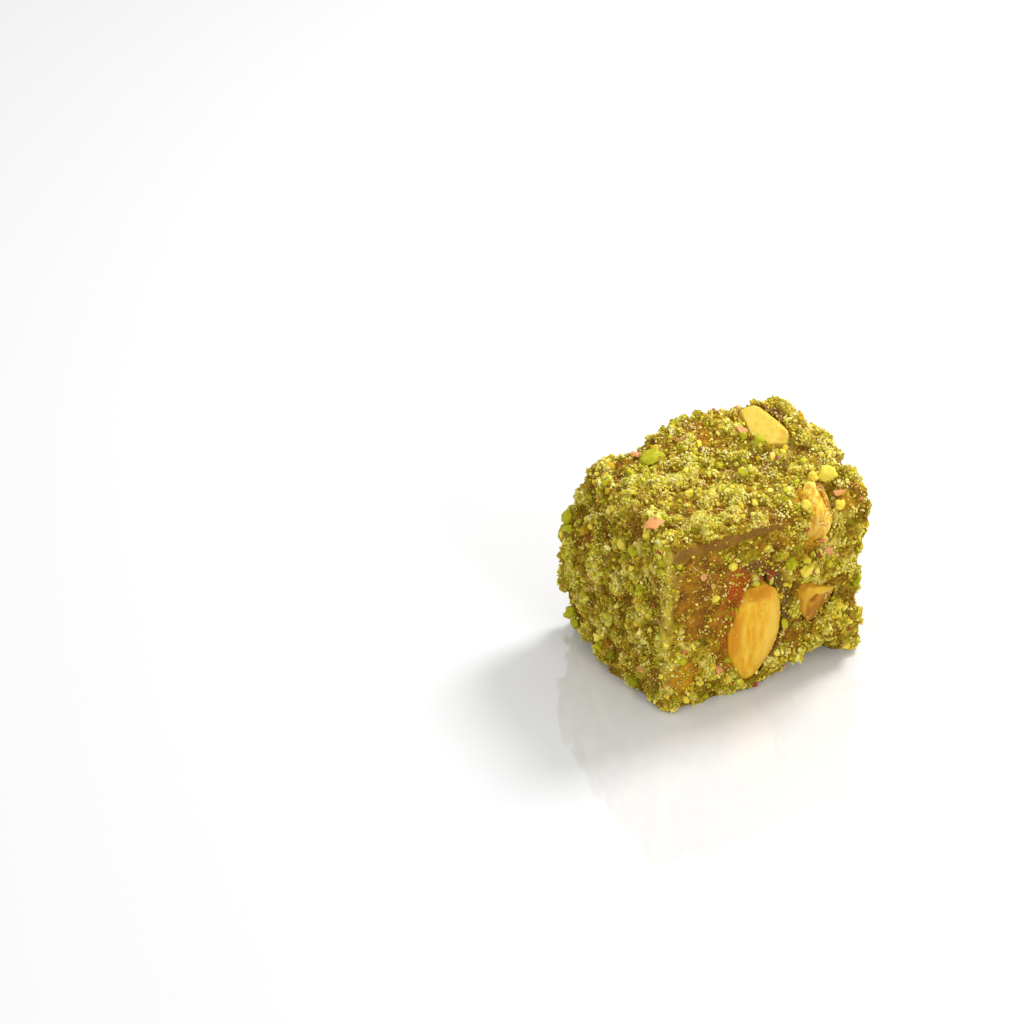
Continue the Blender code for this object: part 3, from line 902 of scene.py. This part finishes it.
def on_kernel(rng, index, count):
    """Spots on a kernel's bare side, gathered toward one end."""
    mesh = kernels[index].data
    points, out = points_of(mesh), normals_of(mesh)
    away = points.mean(axis=0) * np.array((1.0, 1.0, 0.0))
    if index in TOP_KERNELS:
        away = np.array((0.0, 0.0, 1.0))
    bare = np.flatnonzero(out @ (away / np.linalg.norm(away)) > 0.3)
    heaped = smoothstep(-0.2, 0.5, noise_at(points[bare], 1.8, seed=70 + index)) + 0.08
    chosen = rng.choice(bare, count, p=heaped / heaped.sum())
    return {"points": points[chosen], "out": out[chosen], "heap": 0.2 * rng.random(count)}


def joined_spots(*groups):
    """All the groups' spots as one. A group without heaps lies flat on the core."""
    keys = ("points", "out", "heap")
    filled = [{"heap": np.zeros(len(group["points"])), **group} for group in groups]
    return {key: np.concatenate([group[key] for group in filled]) for key in keys}


def coated(spot):
    """Grains keep to the coat, and gather on its clumps."""
    return (1.0 - spot["bare"]) ** 1.5 * spot["thick"] * (0.12 + 0.88 * spot["clump"])


def settled(spot):
    """The palest grains have mostly settled on the top; more are gathered on the corner by the front face as
    a painted highlight.
    """
    up = np.clip(spot["out"][:, 2], 0.0, 1.0)
    return np.clip(0.14 + 0.76 * up + 0.8 * spot["corner"], 0.0, 1.0) * coated(spot)


def dusted(spot):
    """Fine dust lies on the bare jelly too, more thinly."""
    up = np.clip(spot["out"][:, 2], 0.0, 1.0)
    return (0.36 + 0.64 * up) * (0.42 + 0.58 * coated(spot)) * (1.0 - 0.6 * spot["clean"])


def on_jelly(spot):
    """Crumbs on the bare jelly, in loose drifts."""
    return spot["bare"] * (0.3 + 0.7 * spot["clump"]) * (1.0 - spot["clean"])


# The colours of each kind of grain, from its darkest tone to its palest.
YELLOW = palette((0.1, 142, 94, 4), (0.4, 192, 160, 26), (0.7, 220, 200, 70), (1.0, 238, 224, 134))
GREEN = palette((0.1, 98, 78, 2), (0.4, 146, 134, 8), (0.7, 186, 178, 34), (1.0, 214, 208, 96))
LEAF = palette((0.1, 92, 86, 2), (0.45, 136, 136, 8), (0.8, 180, 176, 30), (1.0, 208, 200, 84))
PALE_MEAL = palette((0.1, 182, 148, 44), (0.5, 214, 196, 92), (1.0, 234, 222, 148))
CREAM = palette((0.1, 184, 132, 50), (0.5, 206, 172, 88), (1.0, 228, 204, 138))
TAN = palette((0.1, 104, 50, 8), (0.5, 160, 100, 34), (1.0, 204, 154, 86))
ROSE = palette((0.1, 146, 76, 28), (0.5, 190, 118, 62), (1.0, 226, 172, 116))
WINE = palette((0.1, 84, 24, 8), (0.5, 126, 48, 22), (1.0, 160, 84, 48))

# The larger bits that can be told apart: where they lie and how long they are.
GREEN_BITS = (
    ((-6.6, 7.3, 26.9), 3.7), ((-10.5, 6.1, 26.8), 1.4), ((7.8, 4.0, 27.5), 2.0), ((6.5, 5.6, 27.2), 1.4),
    ((2.9, -12.6, 9.4), 1.6), ((3.4, -12.8, 18.2), 2.0), ((-16.6, 13.2, 14.0), 2.4),
    ((-12.6, -12.6, 8.5), 1.4), ((-17.2, 11.8, 18.4), 2.3), ((-17.2, 10.6, 17.0), 1.9),
    ((-17.6, 10.8, 3.2), 1.8), ((-17.2, 10.0, 1.4), 1.9), ((-15.9, -4.5, 22.0), 1.6),
)
YELLOW_BITS = (
    ((5.0, -12.8, 16.6), 2.0), ((11.6, -6.2, 27.4), 2.9), ((10.2, -5.0, 27.2), 1.9),
    ((-7.8, -12.6, 16.5), 1.2), ((-10.6, -12.6, 10.4), 1.0), ((-4.3, 2.9, 26.8), 1.6),
    ((-3.3, -3.0, 26.8), 1.4), ((-5.2, -12.7, 20.8), 1.4), ((0.6, 6.6, 27.2), 1.4),
    ((11.0, -11.8, 24.6), 1.7), ((8.2, -12.0, 21.6), 1.3), ((6.6, -10.8, 26.2), 1.5),
    ((-16.0, -1.0, 21.0), 1.6),
)
ROSE_BITS = (
    ((-13.8, -6.2, 26.9), 2.9), ((6.6, 6.5, 27.3), 1.6), ((-1.4, 8.0, 27.0), 1.6),
    ((-4.4, -6.5, 26.6), 1.5), ((7.6, 9.8, 27.6), 1.3), ((8.7, 11.3, 27.4), 1.2),
    ((-3.6, -12.9, 1.6), 1.0), ((-3.1, -12.9, 1.2), 0.8), ((-7.9, 9.0, 26.8), 1.4),
    ((11.6, -10.6, 26.4), 2.0), ((-9.6, -12.5, 20.5), 1.1), ((-8.2, -12.5, 18.7), 1.2),
    ((8.8, -12.6, 19.2), 1.8), ((7.8, -12.6, 21.2), 1.6), ((-6.6, -12.5, 5.4), 1.5),
    ((3.4, -12.6, 1.4), 1.0),
)
WINE_BITS = (
    ((5.3, -12.7, 23.1), 1.0), ((-15.8, -10.5, 25.1), 0.9), ((-15.8, -3.1, 18.9), 1.0),
    ((8.1, -0.1, 26.9), 1.0), ((0.0, -12.3, 17.6), 1.5), ((0.8, -12.3, 17.0), 1.3),
    ((-0.9, -12.4, 17.7), 1.3), ((7.6, -12.6, 18.0), 1.0), ((-0.6, -12.9, 1.0), 1.0),
    ((12.6, -12.0, 20.5), 0.8),
)
CREAM_BITS = (
    ((7.0, -12.6, 12.7), 0.6), ((7.5, -12.6, 12.4), 0.5), ((6.6, -12.6, 12.2), 0.5),
    ((8.0, -12.6, 12.1), 0.4), ((0.3, -12.5, 17.8), 0.5), ((-0.5, -12.5, 17.9), 0.45),
    ((0.9, -12.5, 17.3), 0.5), ((-3.3, -13.0, 16.4), 0.55), ((-2.6, -13.0, 16.9), 0.6),
    ((-3.8, -13.0, 15.4), 0.5), ((-1.8, -13.0, 17.2), 0.5),
)


# A grain's tone, from 0 for its kind's darkest colour to 1 for the palest.
TONE = 0.36
TONE_SPREAD = 0.18
HEAP_TONE = 0.9  # paler for each mm up a heap: painted shade low between the heaps, painted light on their tops
UP_TONE = 0.12  # paler where it faces up
PALEST_TONE = 0.9
BIT_TONE = 0.52
SIZE_SKEW = 2.0  # above 1, most grains are nearer the smallest size


def scatter_grains(
    name, templates, spots, small, large, stops, rng, bits=(), roughness=0.7, tilt=0.6, sharp=40.0, sunk=0.0
):
    """One piece of many grains at the spots, and of the larger bits, which come first."""
    extra = len(bits)
    if bits:
        spots = joined_spots(placed_at([position for position, _ in bits]), spots)
    count = len(spots["points"])
    sizes = small + (large - small) * rng.random(count) ** SIZE_SKEW
    sizes[:extra] = [size for _, size in bits]
    lift = rng.uniform(-0.1, 0.3, count) - sunk
    lift[:extra] = 0.2 - sunk
    paler = UP_TONE * np.clip(spots["out"][:, 2], 0.0, 1.0)
    tones = rng.normal(TONE, TONE_SPREAD, count) + HEAP_TONE * spots["heap"] + paler
    tones = np.clip(tones, 0.0, PALEST_TONE)
    tones[:extra] = BIT_TONE
    material = grain_material(name, stops, roughness)
    joined_grains(name, templates, spots, sizes, lift, tones, rng, material, tilt, sharp)


# Each kind of meal: how many grains, their smallest and largest size, where they keep, and their colours.
MEALS = (
    ("meal_yellow", 9400, 0.24, 0.5, coated, YELLOW),
    ("meal_green", 8400, 0.24, 0.5, coated, GREEN),
    ("meal_pale", 3600, 0.24, 0.5, settled, PALE_MEAL),
    ("meal_cream", 3400, 0.16, 0.36, dusted, CREAM),
    ("meal_tan", 1900, 0.2, 0.44, dusted, TAN),
)

# The shares of the meal that lie in heaps, loose on the coat, as dust all over, and in drifts on the jelly.
HEAP_SHARE, LOOSE_SHARE, DUST_SHARE, DRIFT_SHARE = 0.58, 0.24, 0.08, 0.05

# Heaps of meal, and then of crumbs: heaps for each grain, how far a heap reaches, and how high it stands.
MEAL_HEAPS = (0.09, 0.44, 0.32)
CRUMB_HEAPS = (0.3, 0.6, 0.3)

CRUMB_SIZES = (0.45, 1.2)
CRUMB_SUNK = 0.12  # a crumb's share that is pressed into the coat
LUMP_TILT, LUMP_SHARP, LUMP_SUNK = 0.3, 70.0, 0.16


def make_meal():
    """The finest grains, heaped in clumps."""
    rng = np.random.default_rng(SEED + 100)
    fine = grain_templates(rng, 1, 0.5, 3)
    for name, count, small, large, chance, stops in MEALS:
        heaps = gathered(rng, int(count * HEAP_SHARE), chance, *MEAL_HEAPS)
        loose = scattered(rng, int(count * LOOSE_SHARE), chance)
        dust = scattered(rng, int(count * DUST_SHARE), dusted)
        drifts = scattered(rng, int(count * DRIFT_SHARE), on_jelly)
        spots = joined_spots(heaps, loose, dust, drifts)
        if stops is CREAM:
            lapping = (on_kernel(rng, index, int(count * share)) for index, share in KERNEL_DUST)
            spots = joined_spots(spots, *lapping)
        scatter_grains(name, fine, spots, small, large, stops, rng, CREAM_BITS if stops is CREAM else ())


def make_crumbs():
    """Crumbs in looser heaps, and the pieces that can be told apart."""
    rng = np.random.default_rng(SEED + 150)
    crumb = grain_templates(rng, 2, 0.7, 2)
    lump = grain_templates(rng, 3, 0.46, 1)
    for name, count, stops in (("crumbs_yellow", 1150, YELLOW), ("crumbs_green", 900, GREEN)):
        spots = gathered(rng, count, coated, *CRUMB_HEAPS)
        scatter_grains(name, crumb, spots, *CRUMB_SIZES, stops, rng, sunk=CRUMB_SUNK)
    for name, count, largest, stops, bits, roughness in (
        ("pieces_green", 34, 1.9, LEAF, GREEN_BITS, 0.55),
        ("pieces_yellow", 40, 1.8, YELLOW, YELLOW_BITS, 0.6),
    ):
        spots = scattered(rng, count, coated)
        scatter_grains(
            name, lump, spots, 1.0, largest, stops, rng, bits, roughness, LUMP_TILT, LUMP_SHARP, LUMP_SUNK
        )


make_meal()
make_crumbs()

# ---- Flakes of skin ----


FLAKE_THICKNESS = 0.16  # for a flake 1 long
FLAKE_TILT = 0.3


def flake_templates(rng):
    """Chips of the pistachio's thin skin: flat, bent and ragged."""
    ball, faces = ball_of(2)
    shapes = []
    for index in range(GRAIN_TEMPLATES):
        outline = 1.0 + 0.7 * noise_at(ball * np.array((1.0, 1.0, 0.0)), 0.3, seed=300 + index)
        thin = np.full(len(ball), FLAKE_THICKNESS)
        shape = ball * np.stack([outline, outline * rng.uniform(0.5, 0.9), thin], axis=1)
        ripple = 0.08 * noise_at(ball, 0.3, seed=400 + index)
        shape[:, 2] += rng.uniform(-0.5, 0.5) * shape[:, 0] ** 2 + ripple
        shapes.append(shape / np.ptp(shape, axis=0).max())
    return np.array(shapes), faces, ball


def make_flakes():
    """Flakes of skin, which lie nearly flat on the coat."""
    rng = np.random.default_rng(SEED + 200)
    flakes = flake_templates(rng)
    rose = scattered(rng, 170, coated)
    scatter_grains("skin_rose", flakes, rose, 0.4, 1.3, ROSE, rng, ROSE_BITS, 0.55, FLAKE_TILT)
    wine = scattered(rng, 60, coated)
    scatter_grains("skin_wine", flakes, wine, 0.3, 0.8, WINE, rng, WINE_BITS, 0.5, FLAKE_TILT)


make_flakes()

# ---- Floor, light and camera ----


FLOOR_RADIUS = 4.0  # in metres, as are the lights' places and sizes
FLOOR_COLOUR = (0.68, 0.68, 0.68, 1.0)
WORLD_STRENGTH = 0.8
AIM = (0.0, 0.0, 0.012)  # where the lights point

# Each light's name, place, size and power in watts.
LIGHTS = (
    ("key", (0.19, 0.06, 0.25), 0.1, 0.92),
    ("front", (0.08, -0.5, 0.26), 0.22, 1.28),
    ("left", (-0.45, -0.22, 0.24), 0.22, 0.57),
)


def make_floor():
    mesh = bpy.data.meshes.new("floor")
    bm = bmesh.new()
    bmesh.ops.create_circle(bm, cap_ends=True, segments=64, radius=FLOOR_RADIUS)
    bm.to_mesh(mesh)
    bm.free()
    floor = bpy.data.objects.new("floor", mesh)
    bpy.context.scene.collection.objects.link(floor)
    paint = Paint("floor", roughness=0.05)
    paint.set("Base Color", FLOOR_COLOUR)
    paint.set("IOR", 2.0)
    floor.data.materials.append(paint.material)


def add_light(name, position, size, power):
    light = bpy.data.lights.new(name, "AREA")
    light.shape = "DISK"
    light.size = size
    light.energy = power
    lamp = bpy.data.objects.new(name, light)
    lamp.location = position
    lamp.rotation_mode = "QUATERNION"
    lamp.rotation_quaternion = (Vector(AIM) - Vector(position)).to_track_quat("-Z", "Y")
    bpy.context.scene.collection.objects.link(lamp)


def make_light():
    world = bpy.data.worlds.new("studio")
    world.use_nodes = True
    background = world.node_tree.nodes["Background"]
    background.inputs["Color"].default_value = WHITE
    background.inputs["Strength"].default_value = WORLD_STRENGTH
    bpy.context.scene.world = world
    for light in LIGHTS:
        add_light(*light)


def make_camera():
    azimuth, elevation = math.radians(VIEW_AZIMUTH), math.radians(VIEW_ELEVATION)
    back = Vector((
        math.sin(azimuth) * math.cos(elevation),
        -math.cos(azimuth) * math.cos(elevation),
        math.sin(elevation),
    ))
    right = Vector((math.cos(azimuth), math.sin(azimuth), 0.0))
    up = back.cross(right)
    camera = bpy.data.objects.new("camera", bpy.data.cameras.new("camera"))
    camera.data.lens = LENS
    camera.data.sensor_width = SENSOR
    camera.data.clip_start = 0.01
    camera.location = (back * VIEW_DISTANCE - right * VIEW_RIGHT + up * VIEW_DOWN) * MM
    camera.rotation_mode = "QUATERNION"
    camera.rotation_quaternion = Matrix((right, up, back)).transposed().to_quaternion()
    bpy.context.scene.collection.objects.link(camera)
    bpy.context.scene.camera = camera


make_floor()
make_light()
make_camera()
bpy.context.scene.view_settings.view_transform = "Standard"
